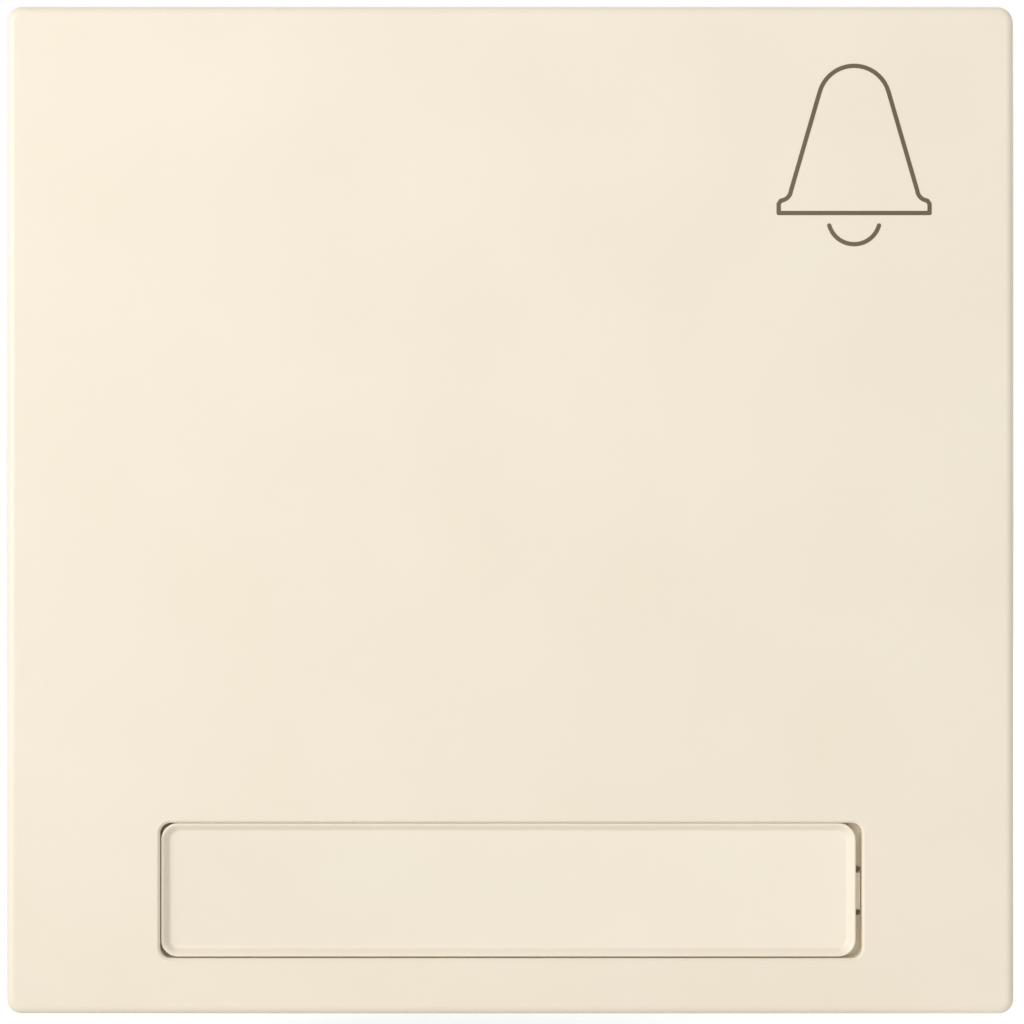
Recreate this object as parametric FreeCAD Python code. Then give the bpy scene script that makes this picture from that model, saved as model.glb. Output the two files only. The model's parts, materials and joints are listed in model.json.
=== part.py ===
import FreeCAD, Part
import math
import os

from FreeCAD import Vector

# Doorbell push button, flush mounted, with a square button plate.
# All sizes in millimetres. X to the right, Z up, Y into the wall.
# The wall surface is the plane Y = 0, and the origin is the middle of the support plate's rear face.
# The button plate faces the room, towards -Y.

# Button plate
face_thickness = 2.2
face_corner_radius = 0.8
face_edge_radius = 0.5
skirt_wall = 1.6
skirt_room = 2.3
skirt_to_wall = 2.0
rib_thickness = 1.0
rib_height = 1.2
rib_to_pin = 0.9
rib_to_yoke = 1.1

# Name field, sunk in two steps: a narrow moat round the window, and a pocket that locates it
field_width = 38.3
field_height = 7.4
field_corner_radius = 0.6
field_edge = 0.12
field_centre_x = 0.05
field_from_bottom = 6.76
moat_depth = 1.0
pocket_depth = 0.45
moat_left = 0.03
moat_right = 0.33
moat_top = 0.03
moat_bottom = 0.06
window_clearance = 0.03
window_sink = 0.26
window_corner_radius = 0.95
window_edge_radius = 0.08
window_land = 0.04
window_land_left = 0.1
dish_slope = 0.38
dish_depth = 0.28
dish_foot_radius = 0.25
window_rim = 0.45
card_thickness = 0.25
card_clearance = 0.1
tab_width = 2.0
tab_drop = 0.12
tab_sink = 0.35
notch_radius = 0.16
notch_to_tab = 0.19

# Bell sign: a single line drawn bell
bell_from_right = 8.76
bell_from_top = 11.31
bell_height = 8.02
bell_dome_radius = 1.95
bell_flank_half = 3.44
bell_flank_z = 1.22
bell_lip_half = 3.98
bell_lip_z = 0.68
bell_turn_out_share = 0.22
bell_turn_down_share = 0.56
bell_base_half = 4.11
bell_side_z = 0.5
bell_line = 0.235
clapper_radius = 1.41
clapper_drop = 0.29
clapper_end_angle = 16.0
engraving_depth = 0.12
print_height = 0.01

# Carrier between the plate and the mechanism
press_angle = 3.0
yoke_width = 29.6
yoke_height = 28.0
yoke_thickness = 1.6
pivot_to_yoke = 1.5
trunnion_radius = 1.5
trunnion_length = 3.2
trunnion_clearance = 0.05
cheek_thickness = 1.4
cheek_height = 7.0
finger_width = 3.0
finger_radius = 1.2
finger_arm = 10.0
finger_gap = 0.05
clip_x = 6.0
clip_from_end = 1.6
clip_width = 4.0
clip_thickness = 1.2
clip_clearance = 0.1
clip_hook = 0.5
clip_hook_height = 0.7

# Return springs under the carrier
return_spring_x = 10.0
return_spring_to_stop = 3.8
return_spring_radius = 2.0
return_spring_wire = 0.4
return_spring_turns = 4.0
spring_seat_clearance = 0.25
spring_boss_radius = 1.3
spring_boss_height = 0.8
spring_end_gap = 0.02

# Bearing frame, the front cover of the mechanism
frame_thickness = 1.4
frame_to_pivot = 1.6
flange_side = 4.0
flange_cut = 9.6
spigot_depth = 1.0
spigot_wall = 1.2
spigot_clearance = 0.1
fork_thickness = 2.4
fork_height = 6.0
fork_gap = 0.4
fork_above_pivot = 1.7
fork_lip_half = 1.35
stop_radius = 1.0
stop_x = 10.5
stop_from_end = 1.2
stop_gap = 0.04
finger_slot_clearance = 0.6
hold_down_width = 3.0
hold_down_gap = 0.05

# Support plate
plate_border = 1.4
plate_thickness = 1.0
plate_corner_radius = 2.0
wall_screw_circle = 60.0
wall_screw_hole_radius = 1.7
plate_window_clearance = 0.2

# Screws that clamp the frame and the housing to the support plate
screw_to_tub = 2.0
screw_z = 8.0
screw_radius = 0.95
screw_thread_clearance = 0.05
screw_free_clearance = 0.2
screw_head_radius = 1.9
screw_head_height = 1.2
screw_head_edge_radius = 0.6
screw_slot_width = 0.5
screw_slot_length = 2.4
screw_slot_depth = 0.6
screw_tip = 0.6
screw_point_chamfer = 0.3
collar_wall = 0.6
collar_height = 0.8

# Housing
terminal_room = 8.4
tub_wall = 1.6
tub_corner_radius = 5.0
tub_floor = 1.8
tub_rear_radius = 1.2
grip_depth = 0.6
grip_width = 7.0
grip_side = 4.0
grip_front = 3.0
grip_rear = 16.0
housing_flange = 1.2
partition_x = 9.0
partition_thickness = 1.2
partition_slot_clearance = 0.15
part_gap = 0.1
snug_gap = 0.05

# Contact lever and its pin
lever_front = 5.0
lever_thickness = 0.8
lever_width = 10.0
lever_tip_width = 6.4
lever_pin_z = 10.0
lever_contact_z = -14.0
lever_end = 2.4
pin_radius = 0.8
pin_clearance = 0.05
pin_overhang = 0.5
contact_closed_gap = 0.06
contact_radius = 1.6
contact_thickness = 0.9
contact_dome = 8.0
rivet_radius = 0.8
rivet_tail_radius = 1.15
rivet_tail_height = 0.35
contact_spring_z = -2.0
contact_spring_radius = 2.0
contact_spring_wire = 0.4
contact_spring_turns = 5.0
contact_spring_length = 6.4
contact_boss_radius = 2.8

# Busbars
strip_thickness = 0.8
strip_gap = 0.4
bar_width = 6.0
bar_front = 5.0
bar_depth = 11.0
bar_outer_step = 1.0
arm_width = 6.0
riser_depth = 3.0
feed_arm_front = 9.0
ear_gap = 0.3
ear_radius = 1.7

# Terminals
terminal_z = -5.0
port_radius = 1.2
port_length = 3.2
port_gap = 0.1
port_mouth_radius = 2.0
port_mouth_depth = 0.8
port_boss_side = 0.7
clamp_thickness = 0.35
clamp_width = 4.6
clamp_bend_radius = 0.55
clamp_bend_to_bar = 2.1
clamp_fixed_to_bar = 1.2
clamp_tip_gap = 0.2
clamp_drop = 5.5
release_travel = 1.6
release_to_port = 1.1
release_thickness = 1.8
release_width = 4.0
release_tip_reach = 0.9
release_tip_thickness = 1.1
release_tip_gap = 0.1
release_waist_thickness = 1.0
release_waist_height = 1.1
release_collar_height = 1.4
release_collar_side = 0.6
release_clearance = 0.1
release_proud = 0.2
release_edge_radius = 0.3

# How far a cut runs past the face it opens, and how close counts as being in a plane
cut_past = 1.0
tolerance = 1e-4

# Widths, built up from the middle of the housing to the button plate, which comes to 55 mm square
partition_inner = partition_x - partition_thickness / 2
partition_outer = partition_x + partition_thickness / 2
tub_inner = partition_outer + terminal_room
tub_width = 2 * (tub_inner + tub_wall)
screw_x = tub_width / 2 + screw_to_tub
flange_width = tub_width + 2 * flange_side
plate_width = flange_width + 2 * plate_border
face_width = flange_width + 2 * (skirt_room + skirt_wall)
face_height = face_width

# Marks on the face, measured from its edges
field_centre_z = field_from_bottom - face_height / 2
bell_x = face_width / 2 - bell_from_right
bell_base_z = face_height / 2 - bell_from_top

# Places on the carrier, measured from its ends
clip_z = yoke_height / 2 - clip_from_end
stop_z = yoke_height / 2 - stop_from_end
return_spring_z = return_spring_to_stop - stop_z
rib_x = yoke_width / 2 + trunnion_length + rib_to_pin + rib_thickness / 2
rib_z = yoke_height / 2 + rib_to_yoke + rib_thickness / 2

# Planes along Y, stacked from the wall outwards
plate_front = -plate_thickness
flange_front = plate_front - housing_flange
frame_front = flange_front - frame_thickness
pivot_y = frame_front - frame_to_pivot
yoke_rear = pivot_y - pivot_to_yoke
yoke_front = yoke_rear - yoke_thickness
face_front = yoke_front - face_thickness
skirt_rear = -skirt_to_wall
moat_floor = face_front + moat_depth
pocket_floor = moat_floor + pocket_depth

# Planes along Y inside the housing
spigot_rear = flange_front + spigot_depth
partition_front = spigot_rear + part_gap
bar_rear = bar_front + bar_depth
bar_outer_rear = bar_rear - bar_outer_step
clamp_bend_y = bar_rear - clamp_bend_to_bar
clamp_tip_front = clamp_bend_y - clamp_drop
clamp_fixed_front = bar_front + strip_thickness + clamp_fixed_to_bar
tub_depth = bar_rear + port_length + port_mouth_depth
floor_front = tub_depth - tub_floor
lever_rear = lever_front + lever_thickness
loop_inner = pin_radius + pin_clearance
loop_outer = loop_inner + lever_thickness
pin_y = lever_front - loop_inner

# The contact gap follows from how far the carrier's finger turns the lever
lever_ratio = finger_arm / (lever_pin_z + finger_arm)
lever_angle = press_angle * lever_ratio
contact_travel = (lever_pin_z - lever_contact_z) * math.sin(math.radians(lever_angle))
moving_face = lever_rear + contact_thickness
fixed_face = moving_face + contact_travel + contact_closed_gap
contact_arm_front = fixed_face + contact_thickness

# Places across the housing, for the right hand terminal
bar_inner = partition_outer + strip_gap
bar_face = bar_inner + strip_thickness
bar_outer = tub_inner - part_gap
port_x = bar_face + port_gap + port_radius
arm_low = lever_contact_z - arm_width / 2

# The release lever beside the wire port
release_inner = port_x + port_radius + release_to_port
release_outer = release_inner + release_thickness
release_waist_outer = release_inner + release_waist_thickness
release_tip_inner = release_inner - release_tip_reach
release_tip_outer = release_tip_inner + release_tip_thickness

# The clamp spring's slanting leg, and the release lever's tip just above it
clamp_fixed_x = bar_outer - strip_thickness - snug_gap - clamp_thickness / 2
clamp_turn_x = clamp_fixed_x - 2 * clamp_bend_radius
clamp_tip_x = bar_face + clamp_tip_gap + clamp_thickness / 2
clamp_slope = (clamp_bend_y - clamp_tip_front) / (clamp_turn_x - clamp_tip_x)
clamp_rise = clamp_thickness / 2 * math.hypot(1, clamp_slope)
clamp_top_y = clamp_bend_y - (clamp_turn_x - release_tip_outer) * clamp_slope + clamp_rise
release_tip_front = clamp_top_y + release_tip_gap

# The window's place in its field
window_width = field_width - moat_left - moat_right
window_height = field_height - moat_top - moat_bottom
window_x = field_centre_x + (moat_left - moat_right) / 2
window_z = field_centre_z + (moat_bottom - moat_top) / 2
field_right = field_centre_x + field_width / 2
window_front = face_front + window_sink
tab_z = window_z - tab_drop


def box(x0, x1, y0, y1, z0, z1):
    """A block between two corners, given in any order."""
    low = Vector(min(x0, x1), min(y0, y1), min(z0, z1))
    return Part.makeBox(abs(x1 - x0), abs(y1 - y0), abs(z1 - z0), low)


def block(x, z, width, height, y0, y1):
    """A block centred on (x, z), from y0 back to y1."""
    return box(x - width / 2, x + width / 2, y0, y1, z - height / 2, z + height / 2)


def rod(x, z, radius, y0, y1):
    """A cylinder along Y."""
    return Part.makeCylinder(radius, y1 - y0, Vector(x, y0, z), Vector(0, 1, 0))


def cross_rod(x0, x1, y, z, radius):
    """A cylinder along X."""
    return Part.makeCylinder(radius, x1 - x0, Vector(x0, y, z), Vector(1, 0, 0))


def hole(x, z, radius, y0, y1):
    """A round cut along Y that runs past both faces."""
    return rod(x, z, radius, y0 - cut_past, y1 + cut_past)


def cross_hole(x0, x1, y, z, radius):
    """A round cut along X that runs past both faces."""
    return cross_rod(x0 - cut_past, x1 + cut_past, y, z, radius)


def edges_along(solid, direction):
    """The straight edges that run along a direction."""
    found = []
    for edge in solid.Edges:
        if edge.Curve.TypeId == "Part::GeomLine":
            if abs(abs(edge.Curve.Direction.dot(direction)) - 1) < tolerance:
                found.append(edge)
    return found


def edges_at(solid, y):
    """The edges that lie wholly in the plane at y."""
    found = []
    for edge in solid.Edges:
        bounds = edge.BoundBox
        if abs(bounds.YMin - y) < tolerance and abs(bounds.YMax - y) < tolerance:
            found.append(edge)
    return found


def rounded_block(x, z, width, height, radius, y0, y1):
    """A block with its four edges along Y rounded."""
    solid = block(x, z, width, height, y0, y1)
    return solid.makeFillet(radius, edges_along(solid, Vector(0, 1, 0)))


def tapered_block(x, z, width, height, radius, inset, y0, y1):
    """A rounded block whose sides slope inwards, by inset at y1."""
    wires = []
    for y, shrink in ((y0, 0), (y1, inset)):
        solid = rounded_block(x, z, width - 2 * shrink, height - 2 * shrink, radius - shrink, y, y + 1)
        wires.append(Part.Wire(Part.__sortEdges__(edges_at(solid, y))))
    return Part.makeLoft(wires, True, True)


def cut_corner_block(width, cut, y0, y1):
    """A square block with its four corners cut off."""
    solid = block(0, 0, width, width, y0, y1)
    return solid.makeChamfer(cut, edges_along(solid, Vector(0, 1, 0)))


def mirrored(shape):
    """The same shape on the other side of the middle."""
    return shape.mirror(Vector(0, 0, 0), Vector(1, 0, 0))


def both_sides(shape):
    """The shape and its mirror image."""
    return [shape, mirrored(shape)]


def one_solid(shape):
    """The shape as one clean solid, with no split faces."""
    clean = shape.removeSplitter()
    return clean.Solids[0] if len(clean.Solids) == 1 else clean


def coil_spring(x, z, radius, wire, turns, y0, y1):
    """A round wire spring along Y between two seats, with one face for each turn."""
    low = y0 + spring_end_gap + wire / 2
    height = y1 - spring_end_gap - wire / 2 - low
    helix = Part.makeLongHelix(height / turns, height, radius)
    section = Part.Wire([Part.makeCircle(wire / 2, Vector(radius, 0, 0), Vector(0, 1, 0))])
    coil = Part.Wire(helix.Edges).makePipeShell([section], True, True)
    coil.rotate(Vector(0, 0, 0), Vector(1, 0, 0), -90)
    coil.translate(Vector(x, low, z))
    return coil


def stroke(edges, width, y0, y1):
    """A line of a given width drawn along some edges in the plane at y0, as a solid back to y1."""
    path = Part.Wire(edges)
    outer = path.makeOffset2D(width / 2, 0, False, False, False)
    face = Part.Face(outer)
    if path.isClosed():
        inner = path.makeOffset2D(-width / 2, 0, False, False, False)
        face = face.cut(Part.Face(inner))
    return face.extrude(Vector(0, y1 - y0, 0))


def bell_outline(y):
    """The centre line of the bell's body: dome, flanks, curled lip and base."""
    centre_z = bell_height - bell_dome_radius
    drop = centre_z - bell_flank_z
    reach = math.hypot(bell_flank_half, drop)
    tilt = math.asin(bell_dome_radius / reach) - math.atan2(bell_flank_half, drop)
    shoulder = (
        bell_dome_radius * math.cos(tilt),
        centre_z - bell_dome_radius * math.sin(tilt),
    )
    lip_turn = (
        bell_flank_half + bell_turn_out_share * (bell_lip_half - bell_flank_half),
        bell_flank_z - bell_turn_down_share * (bell_flank_z - bell_lip_z),
    )

    def at(half, height):
        return Vector(bell_x + half, y, bell_base_z + height)

    edges = [Part.Arc(at(-shoulder[0], shoulder[1]), at(0, bell_height), at(*shoulder)).toShape()]
    for side in (1, -1):
        foot = at(side * bell_flank_half, bell_flank_z)
        lip = at(side * bell_lip_half, bell_lip_z)
        corner = at(side * bell_base_half, bell_side_z)
        base = at(side * bell_base_half, 0)
        edges.append(Part.LineSegment(at(side * shoulder[0], shoulder[1]), foot).toShape())
        edges.append(Part.Arc(foot, at(side * lip_turn[0], lip_turn[1]), lip).toShape())
        edges.append(Part.LineSegment(lip, corner).toShape())
        edges.append(Part.LineSegment(corner, base).toShape())
    edges.append(Part.LineSegment(at(-bell_base_half, 0), at(bell_base_half, 0)).toShape())
    return Part.__sortEdges__(edges)


def clapper_line(y):
    """The centre line of the clapper, an open arc under the bell."""
    points = []
    for degrees in (clapper_end_angle, 90, 180 - clapper_end_angle):
        turn = math.radians(degrees)
        points.append(
            Vector(
                bell_x + clapper_radius * math.cos(turn),
                y,
                bell_base_z - clapper_drop - clapper_radius * math.sin(turn),
            )
        )
    return [Part.Arc(*points).toShape()]


def bell_lines(y0, y1):
    """Body and clapper of the bell sign as two solids."""
    body = stroke(bell_outline(y0), bell_line, y0, y1)
    clapper = stroke(clapper_line(y0), bell_line, y0, y1)
    return [body, clapper]


def bell_symbol():
    return Part.makeCompound(bell_lines(face_front - print_height, face_front + engraving_depth))


def field_cut():
    """The sunk name field: the moat with a broken edge, the pocket for the window, and two notches."""
    moat = rounded_block(
        field_centre_x,
        field_centre_z,
        field_width,
        field_height,
        field_corner_radius,
        face_front - cut_past,
        moat_floor,
    )
    broken_edge = tapered_block(
        field_centre_x,
        field_centre_z,
        field_width + 2 * field_edge,
        field_height + 2 * field_edge,
        field_corner_radius + field_edge,
        field_edge,
        face_front,
        face_front + field_edge,
    )
    pocket = rounded_block(
        window_x,
        window_z,
        window_width + 2 * window_clearance,
        window_height + 2 * window_clearance,
        window_corner_radius + window_clearance,
        moat_floor - part_gap,
        pocket_floor,
    )
    notch_x = field_right - moat_right / 2
    notch_reach = tab_width / 2 + notch_to_tab
    notches = []
    for z in (tab_z - notch_reach, tab_z + notch_reach):
        notches.append(rod(notch_x, z, notch_radius, moat_floor - part_gap, pocket_floor))
    return moat.fuse([broken_edge, pocket] + notches)


def clip_posts():
    """Four legs that reach through the carrier and hook under it."""
    posts = []
    for x in (-clip_x, clip_x):
        for side in (-1, 1):
            hook_front = yoke_rear + snug_gap
            leg = block(
                x, side * clip_z, clip_width, clip_thickness, yoke_front, hook_front + clip_hook_height
            )
            hook = box(
                x - clip_width / 2,
                x + clip_width / 2,
                hook_front,
                hook_front + clip_hook_height,
                side * clip_z,
                side * (clip_z + clip_thickness / 2 + clip_hook),
            )
            posts.append(leg.fuse(hook))
    return posts


def rocker_plate():
    """The button plate: a shallow moulded cap with ribs and clip legs behind the face."""
    solid = rounded_block(0, 0, face_width, face_height, face_corner_radius, face_front, skirt_rear)
    solid = solid.makeFillet(face_edge_radius, edges_at(solid, face_front))
    inner_width = face_width - 2 * skirt_wall
    inner_height = face_height - 2 * skirt_wall
    solid = solid.cut(block(0, 0, inner_width, inner_height, yoke_front, skirt_rear + cut_past))
    ribs = []
    for side in (-1, 1):
        ribs.append(block(side * rib_x, 0, rib_thickness, inner_height, yoke_front, yoke_front + rib_height))
        ribs.append(block(0, side * rib_z, inner_width, rib_thickness, yoke_front, yoke_front + rib_height))
    solid = solid.fuse(ribs + clip_posts())
    solid = solid.cut([field_cut()] + bell_lines(face_front - cut_past, face_front + engraving_depth))
    return one_solid(solid)


def label_window():
    """Milky cover of the name field: a dished front, and a rim all round that encloses the card."""
    solid = rounded_block(
        window_x,
        window_z,
        window_width,
        window_height,
        window_corner_radius,
        window_front,
        pocket_floor,
    )
    solid = solid.makeFillet(window_edge_radius, edges_at(solid, window_front))
    border = window_edge_radius + window_land
    dish = tapered_block(
        window_x + (window_land_left - window_land) / 2,
        window_z,
        window_width - 2 * border - (window_land_left - window_land),
        window_height - 2 * border,
        window_corner_radius - border,
        dish_slope,
        window_front,
        window_front + dish_depth,
    )
    dish = dish.makeFillet(dish_foot_radius, edges_at(dish, window_front + dish_depth))
    card_room = rounded_block(
        window_x,
        window_z,
        window_width - 2 * window_rim,
        window_height - 2 * window_rim,
        window_corner_radius - window_rim,
        pocket_floor - card_thickness - window_clearance,
        pocket_floor + cut_past,
    )
    tab = box(
        window_x + window_width / 2 - window_rim,
        field_right - window_clearance,
        window_front + tab_sink,
        moat_floor - window_clearance,
        tab_z - tab_width / 2,
        tab_z + tab_width / 2,
    )
    return one_solid(solid.fuse(tab).cut([dish, card_room]))


def name_card():
    """Blank card inside the window's rim."""
    inset = window_rim + card_clearance
    return rounded_block(
        window_x,
        window_z,
        window_width - 2 * inset,
        window_height - 2 * inset,
        window_corner_radius - inset,
        pocket_floor - card_thickness,
        pocket_floor,
    )


def rocker_yoke():
    """Carrier under the button plate: hinge pins on two cheeks, and the finger for the contact."""
    solid = block(0, 0, yoke_width, yoke_height, yoke_front, yoke_rear)
    cheek_outer = yoke_width / 2
    cheek_inner = cheek_outer - cheek_thickness
    cheek = box(cheek_inner, cheek_outer, yoke_rear, pivot_y, -cheek_height / 2, cheek_height / 2)
    pin = cross_rod(cheek_inner, cheek_outer + trunnion_length, pivot_y, 0, trunnion_radius)
    added = both_sides(cheek) + both_sides(pin)
    tip_y = lever_front - finger_gap - finger_radius
    added.append(block(0, -finger_arm, finger_width, 2 * finger_radius, yoke_rear, tip_y))
    added.append(cross_rod(-finger_width / 2, finger_width / 2, tip_y, -finger_arm, finger_radius))
    boss = rod(
        return_spring_x, return_spring_z, spring_boss_radius, yoke_rear, yoke_rear + spring_boss_height
    )
    added += both_sides(boss)
    solid = solid.fuse(added)
    slots = []
    for x in (-clip_x, clip_x):
        for z in (-clip_z, clip_z):
            slot_width = clip_width + 2 * clip_clearance
            slot_height = clip_thickness + 2 * clip_clearance
            slots.append(block(x, z, slot_width, slot_height, yoke_front - cut_past, yoke_rear + cut_past))
    return one_solid(solid.cut(slots))


def return_spring(side):
    """Spring between a cup in the frame and a boss under the carrier."""
    return coil_spring(
        side * return_spring_x,
        return_spring_z,
        return_spring_radius,
        return_spring_wire,
        return_spring_turns,
        yoke_rear,
        frame_front + spring_boss_height,
    )


def hinge_fork():
    """Right hand fork: an open ring that the carrier's pin snaps into."""
    inner = yoke_width / 2 + fork_gap
    outer = inner + fork_thickness
    top = pivot_y - fork_above_pivot
    fork = box(inner, outer, top, frame_front, -fork_height / 2, fork_height / 2)
    mouth = box(inner, outer, top - cut_past, pivot_y, -fork_lip_half, fork_lip_half)
    bearing = cross_hole(inner, outer, pivot_y, 0, trunnion_radius + trunnion_clearance)
    return fork.cut([bearing, mouth])


def frame_stops():
    """Posts under the carrier: the upper pair holds it at rest, the lower pair ends its travel."""
    press_room = (stop_z + stop_radius) * math.sin(math.radians(press_angle)) + stop_gap
    posts = []
    for x in (-stop_x, stop_x):
        posts.append(rod(x, stop_z, stop_radius, yoke_rear + stop_gap, frame_front))
        posts.append(rod(x, -stop_z, stop_radius, yoke_rear + press_room, frame_front))
    return posts


def screw_places():
    """Where the four frame screws stand."""
    places = []
    for x in (-screw_x, screw_x):
        for z in (-screw_z, screw_z):
            places.append((x, z))
    return places


def screw_holes(radius, y0, y1):
    return [hole(x, z, radius, y0, y1) for x, z in screw_places()]


def bearing_frame():
    """Front cover with hinge forks, stops, spring cups and posts that hold the busbars down."""
    solid = cut_corner_block(flange_width, flange_cut, frame_front, flange_front)
    spigot_width = 2 * (tub_inner - spigot_clearance)
    spigot_radius = tub_corner_radius - tub_wall
    spigot = rounded_block(0, 0, spigot_width, spigot_width, spigot_radius, flange_front, spigot_rear)
    bore = spigot_width - 2 * spigot_wall
    bore_radius = spigot_radius - spigot_wall
    spigot = spigot.cut(
        rounded_block(0, 0, bore, bore, bore_radius, flange_front - cut_past, spigot_rear + cut_past)
    )
    cup_radius = return_spring_radius + return_spring_wire / 2 + spring_seat_clearance
    cup_floor = frame_front + spring_boss_height
    cup = rod(return_spring_x, return_spring_z, cup_radius, frame_front - cut_past, cup_floor)
    post_x = (bar_face + bar_outer) / 2
    post_end = bar_front - hold_down_gap
    post = block(post_x, terminal_z, hold_down_width, hold_down_width, flange_front, post_end)
    solid = solid.fuse([spigot] + both_sides(hinge_fork()) + both_sides(post) + frame_stops())
    slot_width = finger_width + 2 * finger_slot_clearance
    slot_height = 2 * (finger_radius + finger_slot_clearance)
    holes = screw_holes(screw_radius + screw_free_clearance, frame_front, flange_front)
    finger_slot = block(
        0, -finger_arm, slot_width, slot_height, frame_front - cut_past, flange_front + cut_past
    )
    holes.append(finger_slot)
    return one_solid(solid.cut(both_sides(cup) + holes))


def support_plate():
    """Steel plate against the wall, with an opening for the tub and collars for the screws."""
    solid = rounded_block(0, 0, plate_width, plate_width, plate_corner_radius, plate_front, 0)
    opening = tub_width + 2 * plate_window_clearance
    window = rounded_block(0, 0, opening, opening, tub_corner_radius, plate_front - cut_past, cut_past)
    solid = solid.cut(window)
    thread_radius = screw_radius + screw_thread_clearance
    collars = []
    for x, z in screw_places():
        collars.append(rod(x, z, thread_radius + collar_wall, plate_front, collar_height))
    solid = solid.fuse(collars)
    holes = screw_holes(thread_radius, plate_front, collar_height)
    corner = wall_screw_circle / 2 * math.cos(math.radians(45))
    for x in (-corner, corner):
        for z in (-corner, corner):
            holes.append(hole(x, z, wall_screw_hole_radius, plate_front, 0))
    return one_solid(solid.cut(holes))


def frame_screws():
    """Four pan head screws, threads left plain."""
    screws = []
    for x, z in screw_places():
        head = rod(x, z, screw_head_radius, frame_front - screw_head_height, frame_front)
        head = head.makeFillet(screw_head_edge_radius, edges_at(head, frame_front - screw_head_height))
        shank = rod(x, z, screw_radius, frame_front, collar_height + screw_tip)
        shank = shank.makeChamfer(screw_point_chamfer, edges_at(shank, collar_height + screw_tip))
        screw = head.fuse(shank)
        slot_floor = frame_front - screw_head_height + screw_slot_depth
        slot_top = frame_front - screw_head_height - cut_past
        for width, height in ((screw_slot_length, screw_slot_width), (screw_slot_width, screw_slot_length)):
            screw = screw.cut(block(x, z, width, height, slot_top, slot_floor))
        screws.append(one_solid(screw))
    return Part.makeCompound(screws)


def terminal_cuts():
    """Right hand terminal, cut from the housing: the wire port with its mouth, and the lever window."""
    port = hole(port_x, terminal_z, port_radius, bar_rear, tub_depth)
    mouth = Part.makeCone(
        port_radius,
        port_mouth_radius,
        port_mouth_depth,
        Vector(port_x, tub_depth - port_mouth_depth, terminal_z),
        Vector(0, 1, 0),
    )
    window = box(
        release_inner - release_clearance,
        release_outer + release_clearance,
        floor_front - cut_past,
        tub_depth + cut_past,
        terminal_z - release_width / 2 - release_clearance,
        terminal_z + release_width / 2 + release_clearance,
    )
    return [port, mouth, window]


def grip_grooves():
    """Shallow grooves in the right hand wall, where a box clamp can grip, and their mirror images."""
    grooves = []
    for z in (-grip_side - grip_width / 2, grip_side + grip_width / 2):
        groove = box(
            tub_width / 2 - grip_depth,
            tub_width / 2 + cut_past,
            grip_front,
            grip_rear,
            z - grip_width / 2,
            z + grip_width / 2,
        )
        grooves += both_sides(groove)
    return grooves


def base_housing():
    """Tub with a flange, two partitions, seats for the busbars and the wire ports in its floor."""
    outer = rounded_block(0, 0, tub_width, tub_width, tub_corner_radius, flange_front, tub_depth)
    outer = outer.makeFillet(tub_rear_radius, edges_at(outer, tub_depth))
    flange = cut_corner_block(flange_width, flange_cut, flange_front, plate_front)
    inner_width = 2 * tub_inner
    hollow = rounded_block(
        0, 0, inner_width, inner_width, tub_corner_radius - tub_wall, flange_front - cut_past, floor_front
    )
    solid = outer.fuse(flange).cut(hollow)
    partition = block(partition_x, 0, partition_thickness, inner_width, partition_front, floor_front)
    port_boss = box(
        partition_outer,
        port_x + port_radius + port_boss_side,
        bar_rear,
        floor_front,
        terminal_z - bar_width / 2,
        terminal_z + bar_width / 2,
    )
    lever_half = lever_width / 2 + ear_gap + strip_thickness
    feed_low = lever_pin_z - arm_width / 2
    feed_seat = box(
        -partition_inner,
        lever_half,
        feed_arm_front + strip_thickness,
        floor_front,
        feed_low + strip_thickness,
        feed_low + arm_width - strip_thickness,
    )
    contact_seat = box(
        -contact_radius,
        partition_inner,
        contact_arm_front + strip_thickness,
        floor_front,
        arm_low,
        arm_low + arm_width - strip_thickness,
    )
    spring_seat = lever_rear + contact_spring_length
    post = rod(0, contact_spring_z, contact_boss_radius, spring_seat, floor_front)
    nose = rod(0, contact_spring_z, spring_boss_radius, spring_seat - spring_boss_height, spring_seat)
    inside = both_sides(partition) + both_sides(port_boss) + [feed_seat, contact_seat, post, nose]
    solid = solid.fuse(inside)
    side_room = partition_slot_clearance
    feed_slot = box(
        -partition_outer - side_room,
        -partition_inner + side_room,
        partition_front - cut_past,
        feed_arm_front + strip_thickness + side_room,
        feed_low - side_room,
        feed_low + arm_width + side_room,
    )
    contact_slot = box(
        partition_inner - side_room,
        partition_outer + side_room,
        partition_front - cut_past,
        contact_arm_front + strip_thickness + side_room,
        -tub_inner,
        arm_low + arm_width + side_room,
    )
    seat = contact_arm_front + strip_thickness
    tail_room = rod(
        0, lever_contact_z, rivet_tail_radius + part_gap, seat - cut_past, seat + rivet_tail_height + part_gap
    )
    cuts = [feed_slot, contact_slot, tail_room] + grip_grooves()
    for shape in terminal_cuts():
        cuts += both_sides(shape)
    cuts += screw_holes(screw_radius + screw_free_clearance, flange_front, plate_front)
    return one_solid(solid.cut(cuts))


def terminal_bar():
    """Right hand terminal's metal, bent like a U round the clamp spring and open to the rear."""
    low = terminal_z - bar_width / 2
    high = terminal_z + bar_width / 2
    inner_leg = box(bar_inner, bar_face, bar_front, bar_rear, low, high)
    cross = box(bar_inner, bar_outer, bar_front, bar_front + strip_thickness, low, high)
    outer_leg = box(bar_outer - strip_thickness, bar_outer, bar_front, bar_outer_rear, low, high)
    bar = inner_leg.fuse([cross, outer_leg]).removeSplitter()
    bends = []
    for edge in edges_along(bar, Vector(0, 0, 1)):
        if abs(edge.BoundBox.YMax - bar_front) < tolerance:
            bends.append(edge)
    return bar.makeFillet(strip_thickness, bends)


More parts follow.
